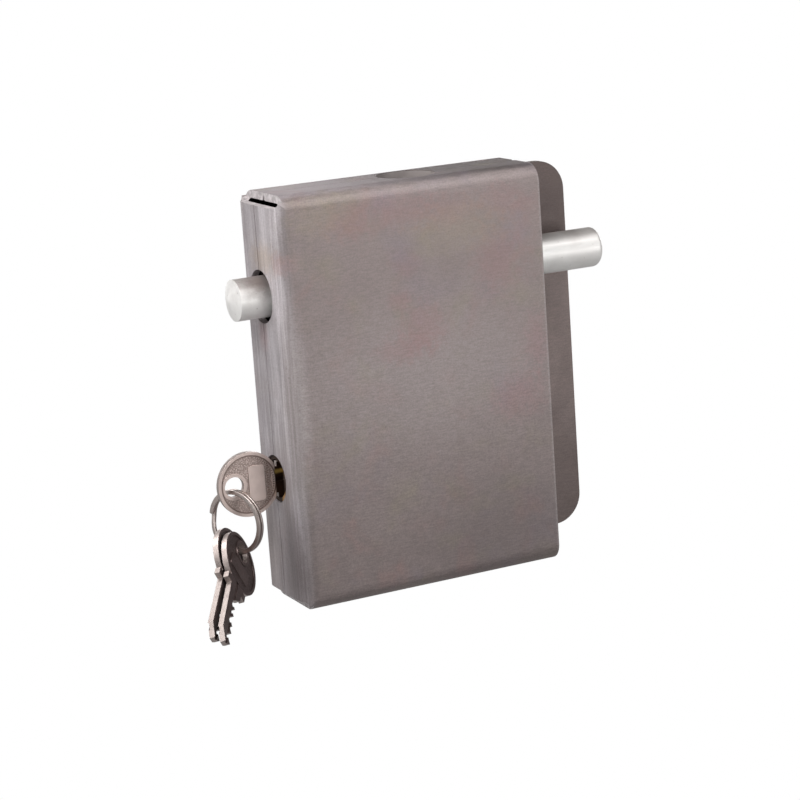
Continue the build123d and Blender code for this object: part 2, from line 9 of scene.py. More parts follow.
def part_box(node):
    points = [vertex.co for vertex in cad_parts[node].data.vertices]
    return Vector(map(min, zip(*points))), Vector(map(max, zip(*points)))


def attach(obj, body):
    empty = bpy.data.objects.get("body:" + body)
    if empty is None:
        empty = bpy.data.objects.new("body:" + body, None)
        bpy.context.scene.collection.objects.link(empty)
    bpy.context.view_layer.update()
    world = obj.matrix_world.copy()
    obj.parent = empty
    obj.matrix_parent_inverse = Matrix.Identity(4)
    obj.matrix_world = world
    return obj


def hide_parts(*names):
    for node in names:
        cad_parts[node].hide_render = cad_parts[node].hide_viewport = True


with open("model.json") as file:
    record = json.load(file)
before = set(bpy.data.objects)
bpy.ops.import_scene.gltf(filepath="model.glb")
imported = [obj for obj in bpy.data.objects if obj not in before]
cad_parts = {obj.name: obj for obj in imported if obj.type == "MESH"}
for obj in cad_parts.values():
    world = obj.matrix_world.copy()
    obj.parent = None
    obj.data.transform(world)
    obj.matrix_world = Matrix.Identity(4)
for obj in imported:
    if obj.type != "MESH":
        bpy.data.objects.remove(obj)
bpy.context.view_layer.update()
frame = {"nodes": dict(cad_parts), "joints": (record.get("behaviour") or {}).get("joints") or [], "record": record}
print("frame: loaded", len(frame["nodes"]), "nodes")

# what the pieces and finishes need from the frame, places in metres
joints = {joint["name"]: joint for joint in frame["joints"]}
bodyOf = {node: body for body, nodes in frame["record"]["behaviour"]["bodies"].items() for node in nodes}
frontLow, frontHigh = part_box("front_shell")
boltLow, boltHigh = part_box("bolt")
plugLow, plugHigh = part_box("cylinder_plug")
boltLine = (boltLow + boltHigh) / 2
plugLine = (plugLow + plugHigh) / 2
caseHigh = Vector((frontHigh.x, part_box("rear_shell")[1].y, frontHigh.z))
caseMiddle = (frontLow + caseHigh) / 2
caseHalf = (caseHigh - frontLow) / 2
bowHole = Vector(joints["ring_swing"]["pos_m"])

# camera: it looks at aim from azimuth and elevation, then leans by roll, all three in degrees;
# shift keeps the photo's framing; lens and sensor are in millimetres
view = {"aim": (0.008, -0.0215, 0.0), "azimuth": -26.40, "elevation": 12.19, "distance": 0.9235,
        "roll": -3.87, "lens": 106.25, "sensor": 36.0, "shift": (-0.0283, -0.0277), "clip": (0.05, 20.0)}


def makeCamera():
    azimuth, elevation = math.radians(view["azimuth"]), math.radians(view["elevation"])
    back = Vector((math.sin(azimuth) * math.cos(elevation), -math.cos(azimuth) * math.cos(elevation),
                   math.sin(elevation)))
    data = bpy.data.cameras.new("camera")
    data.lens, data.sensor_width = view["lens"], view["sensor"]
    data.shift_x, data.shift_y = view["shift"]
    data.clip_start, data.clip_end = view["clip"]
    camera = bpy.data.objects.new("camera", data)
    camera.rotation_mode = "QUATERNION"
    camera.location = Vector(view["aim"]) + back * view["distance"]
    lean = Quaternion((0, 0, 1), math.radians(view["roll"]))
    camera.rotation_quaternion = (-back).to_track_quat("-Z", "Y") @ lean
    bpy.context.scene.collection.objects.link(camera)
    bpy.context.scene.camera = camera


makeCamera()
print("camera: in place")


def put(tree, kind, options=None, **feeds):
    # adds a node, sets its options and feeds its inputs, by label or as in0, in1..., with sockets or values
    node = tree.nodes.new(kind if kind.startswith("Node") else "ShaderNode" + kind)
    for option, value in (options or {}).items():
        setattr(node, option, value)
    for feed, value in feeds.items():
        which = int(feed[2:]) if feed.startswith("in") else feed.replace("_", " ")
        socket = node.inputs[which]
        if isinstance(value, bpy.types.NodeSocket):
            tree.links.new(value, socket)
        else:
            socket.default_value = value
    return node


# light: soft panels round a pale floor; each has a place, a size in metres and a power in watts;
# sky and bounce are what the surroundings and the floor give to the object
studio = {
    "sky": 0.04,
    "bounce": 0.40,
    "panels": {
        "sidePanel": {"place": (-0.80, 0.0, 0.25), "size": (0.3, 0.8), "watts": 1.9},
        "backPanel": {"place": (-0.60, 0.50, 0.35), "size": (0.4, 0.5), "watts": 1.2},
        "nearPanel": {"place": (-0.32, -0.25, 0.35), "size": (0.2, 0.2), "watts": 2.0},
        "rightTopPanel": {"place": (0.40, -0.55, 0.75), "size": (0.8, 0.6), "watts": 4.9},
        "backTopPanel": {"place": (-0.40, 0.35, 0.85), "size": (0.4, 0.4), "watts": 6.0},
        "frontPanel": {"place": (0.35, -0.70, 0.05), "size": (0.3, 0.3), "watts": 1.4},
        "lowBackPanel": {"place": (0.30, 0.90, 0.06), "size": (0.6, 0.3), "watts": 2.0},
        "rightPanel": {"place": (0.85, 0.35, 0.15), "size": (0.4, 0.4), "watts": 1.6},
    },
    "aim": (0.0, -0.02, 0.0),
    "floorSize": 60.0,
    "floorGap": 0.0003,
}
white = (1, 1, 1, 1)


def whiteForCamera(tree, output, plain, seen):
    # what the camera sees directly is the white backdrop; every other ray meets the plain shader
    mix = put(tree, "MixShader")
    tree.links.new(put(tree, "LightPath").outputs["Is Camera Ray"], mix.inputs[0])
    tree.links.new(plain, mix.inputs[1])
    tree.links.new(seen, mix.inputs[2])
    tree.links.new(mix.outputs[0], output)


def makeWorld():
    world = bpy.data.worlds.new("studio")
    world.use_nodes = True
    tree = world.node_tree
    light = put(tree, "Background", Color=white, Strength=studio["sky"]).outputs[0]
    seen = put(tree, "Background", Color=white, Strength=1.0).outputs[0]
    whiteForCamera(tree, tree.nodes["World Output"].inputs["Surface"], light, seen)
    bpy.context.scene.world = world
    bpy.context.scene.view_settings.view_transform = "Standard"


def makePanels():
    for name, panel in studio["panels"].items():
        data = bpy.data.lights.new(name, "AREA")
        data.shape, data.size, data.size_y = "RECTANGLE", *panel["size"]
        data.energy = panel["watts"]
        lamp = bpy.data.objects.new(name, data)
        lamp.location = panel["place"]
        lamp.rotation_mode = "QUATERNION"
        lamp.rotation_quaternion = (Vector(studio["aim"]) - lamp.location).to_track_quat("-Z", "Y")
        bpy.context.scene.collection.objects.link(lamp)


def makeFloor():
    half, level = studio["floorSize"] / 2, frontLow.z - studio["floorGap"]
    corners = [(-half, -half, level), (half, -half, level), (half, half, level), (-half, half, level)]
    mesh = bpy.data.meshes.new("floor")
    mesh.from_pydata(corners, [], [(0, 1, 2, 3)])
    floor = bpy.data.objects.new("floor", mesh)
    bpy.context.scene.collection.objects.link(floor)
    material = bpy.data.materials.new("paleFloor")
    material.use_nodes = True
    tree = material.node_tree
    seen = put(tree, "Emission", Color=white, Strength=1.0).outputs[0]
    plain = put(tree, "Emission", Color=white, Strength=studio["bounce"]).outputs[0]
    whiteForCamera(tree, tree.nodes["Material Output"].inputs["Surface"], plain, seen)
    mesh.materials.append(material)


makeWorld()
makePanels()
makeFloor()
print("studio: floor and", len(studio["panels"]), "panels")


def sums(tree, operation, first, second=0.0, third=0.0):
    # arithmetic on numbers
    return put(tree, "Math", {"operation": operation}, in0=first, in1=second, in2=third).outputs[0]


def vectors(tree, operation, first, second=(0, 0, 0)):
    # arithmetic on vectors
    return put(tree, "VectorMath", {"operation": operation}, in0=first, in1=second).outputs[0]


def ramp(tree, value, low, high, start=0.0, end=1.0):
    # a smooth step of a value: low..high becomes start..end, held at both ends
    return put(tree, "MapRange", {"interpolation_type": "SMOOTHSTEP"}, Value=value, From_Min=low,
               From_Max=high, To_Min=start, To_Max=end).outputs["Result"]


def fade(tree, value, zero, ends, start=0.0, end=1.0):
    # a ramp between two ends that are measured from a zero
    return ramp(tree, value, zero + ends[0], zero + ends[1], start, end)


def nearTo(tree, value, centre, fringe):
    # one where a value is nearer to a centre than the fringe's second number, none beyond its first
    return ramp(tree, sums(tree, "ABSOLUTE", sums(tree, "SUBTRACT", value, centre)), *fringe)


def distance(tree, first, second):
    # the root of the sum of two squares
    squares = [sums(tree, "POWER", part, 2.0) for part in (first, second)]
    return sums(tree, "SQRT", sums(tree, "ADD", *squares))


def blendColour(tree, share, first, second, kind="MIX"):
    # the first colour where the share is none, the second where it is one
    node = put(tree, "Mix", {"data_type": "RGBA", "blend_type": kind}, in0=share)
    for socket, value in ((node.inputs[6], first), (node.inputs[7], second)):
        if isinstance(value, bpy.types.NodeSocket):
            tree.links.new(value, socket)
        else:
            socket.default_value = (*value, 1)
    return node.outputs[2]


def tint(tree, colour, mask, share, paint):
    # a share of paint over a colour, where the mask is
    return blendColour(tree, sums(tree, "MULTIPLY", mask, share), colour, paint)


def newGroup(name, **inputs):
    # each group has vector and number inputs with their usual values, and puts out an amount from 0 to 1
    group = bpy.data.node_groups.new(name, "ShaderNodeTree")
    for label, usual in inputs.items():
        kind = "NodeSocketVector" if isinstance(usual, tuple) else "NodeSocketFloat"
        socket = group.interface.new_socket(label, in_out="INPUT", socket_type=kind)
        socket.default_value = usual
    group.interface.new_socket("Amount", in_out="OUTPUT", socket_type="NodeSocketFloat")
    return group, put(group, "NodeGroupInput").outputs, put(group, "NodeGroupOutput").inputs["Amount"]


def makeStreaks():
    # drawn or rolled grain: noise on a position that is stretched by its own amount along each axis
    group, given, amount = newGroup("streaks", Vector=(0, 0, 0), Stretch=(1, 1, 1), Low=0.35, High=0.65)
    place = vectors(group, "MULTIPLY", given["Vector"], given["Stretch"])
    noise = put(group, "TexNoise", Vector=place, Scale=1.0, Detail=3.0, Roughness=0.6).outputs["Fac"]
    group.links.new(ramp(group, noise, given["Low"], given["High"]), amount)
    return group


def makeClouds():
    # soft patches: low noise, moved by a seed so that each use has patches of its own
    group, given, amount = newGroup("clouds", Vector=(0, 0, 0), Size=0.03, Seed=0.0, Low=0.4, High=0.7)
    shift = put(group, "CombineXYZ", X=given["Seed"], Y=0.3, Z=given["Seed"]).outputs[0]
    place = vectors(group, "ADD", given["Vector"], shift)
    noise = put(group, "TexNoise", Vector=place, Scale=sums(group, "DIVIDE", 1.0, given["Size"]), Detail=4.0,
                Roughness=0.55, Distortion=0.4).outputs["Fac"]
    group.links.new(ramp(group, noise, given["Low"], given["High"]), amount)
    return group


def raggedRim(group, given, share, **noiseLook):
    # a distance made uneven by noise, so that what ends at it has a ragged rim
    noise = put(group, "TexNoise", Vector=given["Vector"], **noiseLook).outputs["Fac"]
    return sums(group, "MULTIPLY_ADD", sums(group, "SUBTRACT", noise, 0.5), given["Ragged"], share)


def makeHalo():
    # a soft spot round a place: full in its middle, gone at one reach, with a ragged rim
    group, given, amount = newGroup("halo", Vector=(0, 0, 0), Centre=(0, 0, 0), Reach=(0.01, 0.01, 0.01),
                                    Ragged=0.3)
    offset = vectors(group, "SUBTRACT", given["Vector"], given["Centre"])
    share = vectors(group, "DIVIDE", offset, given["Reach"])
    far = put(group, "VectorMath", {"operation": "LENGTH"}, in0=share).outputs["Value"]
    rim = raggedRim(group, given, far, Scale=320.0, Detail=7.0, Roughness=0.68)
    group.links.new(ramp(group, rim, 1.0, 0.15), amount)
    return group


def insideBlock(tree, place, centre, half):
    # how far a place lies inside each pair of a block's sides, along X, Y and Z
    folded = vectors(tree, "ABSOLUTE", vectors(tree, "SUBTRACT", place, centre))
    return put(tree, "SeparateXYZ", in0=vectors(tree, "SUBTRACT", half, folded)).outputs


def makeEdgeWear():
    # rubbed edges of a block: on a face, the second smallest way inside the block is the way to the edge
    group, given, amount = newGroup("edgeWear", Vector=(0, 0, 0), Centre=(0, 0, 0), Half=(1, 1, 1),
                                    Width=0.001, Ragged=0.5)
    x, y, z = insideBlock(group, given["Vector"], given["Centre"], given["Half"])
    low, high = sums(group, "MINIMUM", x, y), sums(group, "MAXIMUM", x, y)
    second = sums(group, "MAXIMUM", low, sums(group, "MINIMUM", high, z))
    share = sums(group, "DIVIDE", second, given["Width"])
    rim = raggedRim(group, given, share, Scale=420.0, Detail=4.0)
    group.links.new(ramp(group, rim, 1.0, 0.1), amount)
    return group


def makePits():
    # small round pits or grains: the distance to the nearest of scattered points, cut at a share of
    # their spacing
    group, given, amount = newGroup("pits", Vector=(0, 0, 0), Spacing=0.001, Cover=0.3)
    scale = sums(group, "DIVIDE", 1.0, given["Spacing"])
    cells = put(group, "TexVoronoi", Vector=given["Vector"], Scale=scale).outputs["Distance"]
    group.links.new(ramp(group, cells, given["Cover"], 0.05), amount)
    return group


streaksGroup = makeStreaks()
cloudsGroup = makeClouds()
haloGroup = makeHalo()
edgeWearGroup = makeEdgeWear()
pitsGroup = makePits()
print("shader groups: made")


def use(tree, group, **feeds):
    # the amount that a shared group gives for these inputs
    return put(tree, "Group", {"node_tree": group}, **feeds).outputs[0]


def spotAt(tree, place, centre, reach, ragged):
    # a halo whose centre and reach are in millimetres
    return use(tree, haloGroup, Vector=place, Centre=[part / 1000 for part in centre],
               Reach=[part / 1000 for part in reach], Ragged=ragged)


def newMaterial(name, metallic):
    # with the shader, and the place of each point in the piece's own coordinates
    material = bpy.data.materials.new(name)
    material.use_nodes = True
    tree = material.node_tree
    shader = tree.nodes["Principled BSDF"]
    shader.inputs["Metallic"].default_value = metallic
    place = put(tree, "TexCoord").outputs["Object"]
    return material, tree, shader, place


def finish(tree, shader, colour, grain, roughness):
    # the colour, and a roughness that goes with the grain from its first number to its second
    tree.links.new(colour, shader.inputs["Base Color"])
    tree.links.new(ramp(tree, grain, 0.0, 1.0, *roughness), shader.inputs["Roughness"])


def bump(tree, shader, height, depth, strength):
    # depth is the real height of the relief in metres
    normal = put(tree, "Bump", Height=height, Distance=depth, Strength=strength).outputs["Normal"]
    tree.links.new(normal, shader.inputs["Normal"])


# bare rolled steel of the pressed case; tints are patches all over: colour, seed, size in metres, share;
# rolled, drawn, broad and speckle are grain stretches, in grains per metre along X, Y and Z
caseSteel = {
    # painted light: the wall colours are lit copies of the front's steel, paler again on the wall's upper front
    # half
    "front": (0.254, 0.210, 0.203), "wall": (0.416, 0.384, 0.400), "wallFrontLit": (0.584, 0.544, 0.564),
    # painted light and shade: the top goes from a lit copy of the steel at its left end to a shaded one at its
    # right
    "topLitLeft": (0.352, 0.312, 0.328), "topShadedRight": (0.098, 0.086, 0.084), "dark": (0.160, 0.128, 0.124),
    "plate": (0.240, 0.190, 0.179), "plateDark": (0.100, 0.074, 0.069), "cut": (0.416, 0.388, 0.388),
    "inner": (0.040, 0.032, 0.030),
    "tints": [((0.300, 0.180, 0.164), 4.1, 0.016, 0.40), ((0.220, 0.188, 0.228), 7.3, 0.026, 0.40),
              ((0.256, 0.228, 0.160), 9.9, 0.020, 0.40)],
    "rolled": (1 / 0.0034, 900.0, 1 / 0.00055), "drawn": (700.0, 1 / 0.0007, 1 / 0.026),
    "broad": (300.0, 300.0, 9.0), "speckle": (1 / 0.00058, 1 / 0.00058, 1 / 0.00058),
    "grainSpread": 0.11, "speckleSpread": 0.12,
    "roughness": (0.46, 0.58), "metallic": 0.42, "relief": 0.000008, "speckleHeight": 0.7,
}
# where one look of the case fades into the next, in metres
caseFades = {
    "wall": (0.0060, 0.0012),  # from the case's left side
    "wallFrontLit": (-0.001, -0.006),  # from the bolt's line, forwards
    "wallUpperLit": (-0.050, 0.030),  # from the case's middle, upwards
    "topShadedRight": (-0.045, 0.030),  # from the case's middle, to the right
    "top": (-0.0016, -0.0004),  # from the case's top
    "foot": (0.050, 0.006),  # from the case's underside
    "plate": (-0.0005, 0.0005),  # from the case's right side
    "plateTop": (0.020, 0.062),  # from the case's middle, upwards
    "plateFoot": (-0.010, -0.075),  # from the case's middle, downwards
    "inner": (0.00270, 0.00295),  # from the outer skin, inwards
}
# how much of each look shows
caseShares = {"top": 0.8, "foot": 0.30, "mottle": 0.18, "tintOnWall": 0.15, "plateFoot": 0.6,
              "plateMottle": 0.3, "plate": 0.9, "worn": 0.3, "streak": 0.26, "broad": 0.26, "specks": 0.30}
# stains and spots of painted light stand at a place: colour, centre in millimetres, reach in millimetres, share,
# raggedness
# red, olive, heat and pink are stains; pale is painted light on the bends and the wall, and band is painted shade
stainAndLightColours = {
    "red": (0.310, 0.170, 0.172), "olive": (0.295, 0.254, 0.164), "heat": (0.459, 0.344, 0.230),
    "pink": (0.492, 0.312, 0.312), "pale": (0.410, 0.365, 0.361), "band": (0.139, 0.115, 0.115),
}
caseStainsAndPaintedLight = [
    ("pale", (-53, -36, 2), (7, 8, 55), 0.85, 0.5), ("band", (-52.5, -37, 62), (3.4, 5, 30), 0.40, 0.5),
    ("band", (34, -37.5, -66), (56, 5, 44), 0.34, 0.6), ("band", (-57, -32, -66), (8, 12, 30), 0.45, 0.6),
    ("pale", (-56, -9, -58), (8, 11, 45), 0.60, 0.6), ("pale", (0, -37.5, 4), (95, 5, 42), 0.30, 0.8),
    ("pale", (6, -35, 78), (75, 6, 5), 0.15, 0.8), ("red", (-28, -37.5, 67), (15, 4, 9), 0.27, 2.4),
    ("red", (-2, -37.5, 69), (19, 5, 10), 0.24, 2.4), ("red", (16, -37.5, 67), (18, 5, 10), 0.24, 2.4),
    ("red", (39, -37.5, 68), (14, 5, 10), 0.24, 2.4), ("red", (36, -37.5, 45), (15, 4, 19), 0.29, 2.4),
    ("red", (-7, -37.5, 35), (8, 4, 6), 0.27, 2.0), ("red", (2, -37.5, 24), (15, 4, 14), 0.31, 2.4),
    ("red", (-6, -37.5, 16), (19, 4, 8), 0.27, 2.4), ("red", (51, -37.5, 11), (8, 4, 16), 0.29, 2.4),
    ("red", (42, -37.5, -10), (19, 4, 13), 0.26, 2.4), ("olive", (-38, -36, 71), (20, 8, 12), 0.22, 2.2),
    ("olive", (20, -37.5, 60), (30, 4, 14), 0.20, 2.2), ("heat", (-55, -24, 56), (12, 17, 9), 0.42, 1.4),
    ("pink", (-56, -35, 55), (12, 6, 6), 0.42, 1.2), ("pink", (-56, -18, 26), (12, 7, 8), 0.35, 1.2),
]
# the hole in the case's top, in metres: its cut wall, lightened with painted light, shows within fringe of its
# radius, from edge down to end
topHole = {"x": 0.008, "radius": 0.0115, "colour": (0.34, 0.30, 0.29), "fringe": (0.0004, 0.0002),
           "edge": (-0.0001, -0.0004), "end": (-0.0040, -0.0032)}


def caseFaces(tree, x, y, z, wall):
    # front and left wall with the bend between them, the flat top, and a darker foot; the wall, the top and the
    # foot carry painted light and shade
    look = caseSteel
    # painted light: the wall's front half is paler above its middle
    pale = sums(tree, "MULTIPLY", fade(tree, y, boltLine.y, caseFades["wallFrontLit"]),
                fade(tree, z, 0.0, caseFades["wallUpperLit"]))
    wallColour = blendColour(tree, pale, look["wall"], look["wallFrontLit"])
    colour = blendColour(tree, wall, look["front"], wallColour)
    # painted light and shade along the top: lighter at its left end, darker at its right
    right = fade(tree, x, 0.0, caseFades["topShadedRight"])
    topColour = blendColour(tree, right, look["topLitLeft"], look["topShadedRight"])
    colour = tint(tree, colour, fade(tree, z, frontHigh.z, caseFades["top"]), caseShares["top"], topColour)
    # painted shade: the case is darker towards its underside
    foot = fade(tree, z, frontLow.z, caseFades["foot"])
    return tint(tree, colour, foot, caseShares["foot"], look["dark"])


def caseSpots(tree, place, wall, colour):
    # the tints, which are weaker on the wall, and then the stains and the spots of painted light and shade
    for paint, seed, size, share in caseSteel["tints"]:
        patch = use(tree, cloudsGroup, Vector=place, Size=size, Seed=seed, Low=0.50, High=0.78)
        share = sums(tree, "MULTIPLY_ADD", wall, caseShares["tintOnWall"] - share, share)
        colour = tint(tree, colour, patch, share, paint)
    for name, centre, reach, share, ragged in caseStainsAndPaintedLight:
        spot = spotAt(tree, place, centre, reach, ragged)
        colour = tint(tree, colour, spot, share, stainAndLightColours[name])
    return colour


def casePlate(tree, x, z, mottle, colour):
    # the shield plate past the case's right side is darker towards its top, as painted shade of the case, and
    # towards its foot
    top = fade(tree, z, 0.0, caseFades["plateTop"])
    foot = fade(tree, z, 0.0, caseFades["plateFoot"], 0.0, caseShares["plateFoot"])
    dark = sums(tree, "MAXIMUM", top, foot)
    plate = blendColour(tree, dark, caseSteel["plate"], caseSteel["plateDark"])
    plate = tint(tree, plate, mottle, caseShares["plateMottle"], caseSteel["plateDark"])
    past = fade(tree, x, frontHigh.x, caseFades["plate"])
    return tint(tree, colour, past, caseShares["plate"], plate)


def caseGrain(tree, place, wall, grain, drawn, speckle, colour):
    # grain and speckle lighten and darken the colour; the wall has dark streaks and broad bands, and dark
    # specks lie all over
    dark = caseSteel["dark"]
    for mask, spread in ((grain, caseSteel["grainSpread"]), (speckle, caseSteel["speckleSpread"])):
        weight = blendColour(tree, mask, (1 - spread,) * 3, (1 + spread,) * 3)
        colour = blendColour(tree, 1.0, colour, weight, "MULTIPLY")
    streak = sums(tree, "MULTIPLY", wall, sums(tree, "SUBTRACT", 1.0, drawn))
    colour = tint(tree, colour, streak, caseShares["streak"], dark)
    broad = use(tree, streaksGroup, Vector=place, Stretch=caseSteel["broad"], Low=0.36, High=0.64)
    colour = tint(tree, colour, sums(tree, "MULTIPLY", wall, broad), caseShares["broad"], dark)
    specks = use(tree, pitsGroup, Vector=place, Spacing=0.0042, Cover=0.16)
    return tint(tree, colour, specks, caseShares["specks"], dark)


def caseInside(tree, place, x, y, z, colour):
    # painted shade: the sheet's inner side is near black; it lies a sheet's thickness in from the block round the
    # case
    ways = insideBlock(tree, place, tuple(caseMiddle), tuple(caseHalf))
    depth = sums(tree, "MINIMUM", ways[0], sums(tree, "MINIMUM", ways[1], ways[2]))
    colour = blendColour(tree, ramp(tree, depth, *caseFades["inner"]), colour, caseSteel["inner"])
    # the cut wall of the top hole is bare, and painted pale as painted light on its shaded face
    fromX, fromY = sums(tree, "SUBTRACT", x, topHole["x"]), sums(tree, "SUBTRACT", y, boltLine.y)
    rim = nearTo(tree, distance(tree, fromX, fromY), topHole["radius"], topHole["fringe"])
    for ends in (topHole["edge"], topHole["end"]):
        rim = sums(tree, "MULTIPLY", rim, fade(tree, z, frontHigh.z, ends))
    return blendColour(tree, rim, colour, topHole["colour"])


def makeCaseSteel():
    look = caseSteel
    material, tree, shader, place = newMaterial("caseSteel", look["metallic"])
    x, y, z = put(tree, "SeparateXYZ", in0=place).outputs
    wall = fade(tree, x, frontLow.x, caseFades["wall"])
    rolled = use(tree, streaksGroup, Vector=place, Stretch=look["rolled"], Low=0.30, High=0.70)
    drawn = use(tree, streaksGroup, Vector=place, Stretch=look["drawn"], Low=0.32, High=0.68)
    grain = put(tree, "Mix", {"data_type": "FLOAT"}, in0=wall, in2=rolled, in3=drawn).outputs[0]
    speckle = use(tree, streaksGroup, Vector=place, Stretch=look["speckle"], Low=0.25, High=0.75)
    mottle = use(tree, cloudsGroup, Vector=place, Size=0.012, Seed=1.7, Low=0.35, High=0.72)
    worn = use(tree, edgeWearGroup, Vector=place, Centre=tuple(caseMiddle), Half=tuple(caseHalf),
               Width=0.0011, Ragged=0.8)
    colour = caseFaces(tree, x, y, z, wall)
    colour = tint(tree, colour, mottle, caseShares["mottle"], look["dark"])
    colour = caseSpots(tree, place, wall, colour)
    colour = casePlate(tree, x, z, mottle, colour)
    colour = tint(tree, colour, worn, caseShares["worn"], look["cut"])
    colour = caseGrain(tree, place, wall, grain, drawn, speckle, colour)
    colour = caseInside(tree, place, x, y, z, colour)
    finish(tree, shader, colour, grain, look["roughness"])
    relief = sums(tree, "MULTIPLY_ADD", speckle, look["speckleHeight"], grain)
    bump(tree, shader, relief, look["relief"], strength=0.5)
    return material


# the pale sheared edge of the sheet, shown on the cut faces of the closed corners
cutEdge = {"colour": (0.60, 0.555, 0.56), "dark": (0.33, 0.30, 0.30), "stretch": (500.0, 500.0, 500.0),
           "roughness": 0.45, "metallic": 0.35, "relief": 0.00002}


def makeCutEdge():
    look = cutEdge
    material, tree, shader, place = newMaterial("cutEdge", look["metallic"])
    shear = use(tree, streaksGroup, Vector=place, Stretch=look["stretch"], Low=0.3, High=0.7)
    tree.links.new(blendColour(tree, shear, look["dark"], look["colour"]), shader.inputs["Base Color"])
    shader.inputs["Roughness"].default_value = look["roughness"]
    bump(tree, shader, shear, look["relief"], strength=0.5)
    return material


# bright drawn bar of the bolt, with a turned left end; painted shade darkens its upper side, and a brown
# painted shadow and reflection of the left wall lies where it leaves that wall; turnedEnd is measured from
# its left end, the shade's rise from its line and the shadow's place from where its line meets the left wall,
# all in metres
boltSteel = {
    "colour": (0.88, 0.865, 0.845), "dull": (0.50, 0.46, 0.44), "cloudShare": 0.30, "pitShare": 0.7,
    "upperShade": (0.30, 0.265, 0.25), "upperShadeShare": 0.85, "upperShadeThin": 0.75, "upperShadeRise": (0.0020, 0.0075),
    "wallShadow": (0.15, 0.12, 0.112), "wallShadowShare": 0.9, "wallShadowPlace": (0.0, -0.003, 0.005),
    "wallShadowReach": (0.017, 0.012, 0.011), "turnPitch": 0.00028, "turnedEnd": (0.0026, 0.0022),
    "drawn": (30.0, 1600.0, 1600.0), "drawnHeight": 0.3, "pitSpacing": 0.0032, "pitHeight": -1.5,
    "roughness": (0.42, 0.54), "metallic": 0.5, "relief": 0.000012,
}


def makeBoltSteel():
    look = boltSteel
    material, tree, shader, place = newMaterial("boltSteel", look["metallic"])
    x, y, z = put(tree, "SeparateXYZ", in0=place).outputs
    drawn = use(tree, streaksGroup, Vector=place, Stretch=look["drawn"], Low=0.3, High=0.7)
    clouds = use(tree, cloudsGroup, Vector=place, Size=0.012, Seed=3.0, Low=0.3, High=0.8)
    pits = use(tree, pitsGroup, Vector=place, Spacing=look["pitSpacing"], Cover=0.15)
    radius = distance(tree, sums(tree, "SUBTRACT", y, boltLine.y), sums(tree, "SUBTRACT", z, boltLine.z))
    turned = sums(tree, "SINE", sums(tree, "MULTIPLY", radius, math.tau / look["turnPitch"]))
    coneEnd = fade(tree, x, boltLow.x, look["turnedEnd"])
    colour = tint(tree, look["colour"], clouds, look["cloudShare"], look["dull"])
    colour = tint(tree, colour, pits, look["pitShare"], look["dull"])
    # painted shade: the darkened upper side is off the turned end and thinner between the clouds
    upperShade = sums(tree, "MULTIPLY", fade(tree, z, boltLine.z, look["upperShadeRise"]),
                sums(tree, "SUBTRACT", look["upperShadeShare"], coneEnd))
    upperShade = sums(tree, "MULTIPLY", upperShade, ramp(tree, clouds, 0.0, 1.0, look["upperShadeThin"], 1.0))
    colour = blendColour(tree, sums(tree, "MAXIMUM", upperShade, 0.0), colour, look["upperShade"])
    # painted shadow and reflection: the left wall darkens the bolt brown where it leaves the wall
    wallShadowCentre = Vector((frontLow.x, boltLine.y, boltLine.z)) + Vector(look["wallShadowPlace"])
    wallShadow = use(tree, haloGroup, Vector=place, Centre=wallShadowCentre, Reach=look["wallShadowReach"], Ragged=0.4)
    colour = tint(tree, colour, wallShadow, look["wallShadowShare"], look["wallShadow"])
    finish(tree, shader, colour, drawn, look["roughness"])
    bar = sums(tree, "MULTIPLY_ADD", pits, look["pitHeight"],
               sums(tree, "MULTIPLY", drawn, look["drawnHeight"]))
    relief = sums(tree, "ADD", sums(tree, "MULTIPLY", turned, coneEnd), bar)
    bump(tree, shader, relief, look["relief"], strength=0.7)
    return material


# worn nickel plate of the keys, in metres; the attribute keyPlace holds each point's way from the bow's hole:
# along the key, across it, and out of its face; on the bow, a raised rim and flat bound a field of stipple,
# with a straight row of dots beside the flat and a round one inside the rim; the neck is painted black as
# shade from the flat to the plug's face, and the place and reach of a painted reflection of brass on it
# are in millimetres
keyNickel = {
    "bowCentre": 0.0061, "bowRadius": 0.0126, "rim": 0.0015, "rimShadowLine": (0.00042, 0.00016),
    "flat": 0.0110, "flatFade": (0.0003, 0.0), "fieldDepth": 0.00090, "fieldFade": (0.0, -0.00008),
    "dotPitch": 0.00095, "dotFade": (-0.1, 0.5), "rowPlace": 0.0080, "rowInset": 0.0009,
    "rowFringe": (0.00045, 0.00025), "dotsFrom": (0.0005, 0.0040), "dotsInside": (-0.0001, -0.0003),
    "stipple": 0.00052, "stippleDepth": 0.00005, "dotHeight": -1.2, "brushedHeight": 0.08,
    "brushed": (900.0, 900.0, 900.0), "roughness": (0.30, 0.44),
    "hollowShare": 0.62, "dotShare": 0.85, "lineShare": 0.85,
    "neckStart": (-0.0006, 0.0002), "neckStop": (0.0006, -0.0010),
    "rubbedPlace": (-56.0, -19.6, -26.8), "rubbedReach": (8.0, 3.0, 1.3),
    "edgeFacing": 0.75, "edgeLevel": 0.0006,
}
# the lock key's neck colour is painted shade, and its streak a painted reflection of brass
keyLooks = {
    "keyNickel": {"colour": (0.70, 0.575, 0.53), "dark": (0.15, 0.10, 0.085), "patch": 0.16,
                  "metallic": 0.70, "neckShade": (0.030, 0.015, 0.010), "streak": (0.50, 0.34, 0.10)},
    # painted shade: the spare keys' nickel is a darker copy of the lock key's
    "spareNickelShaded": {"colour": (0.165, 0.125, 0.118), "dark": (0.075, 0.052, 0.048), "patch": 0.45,
                    "metallic": 0.85},
}


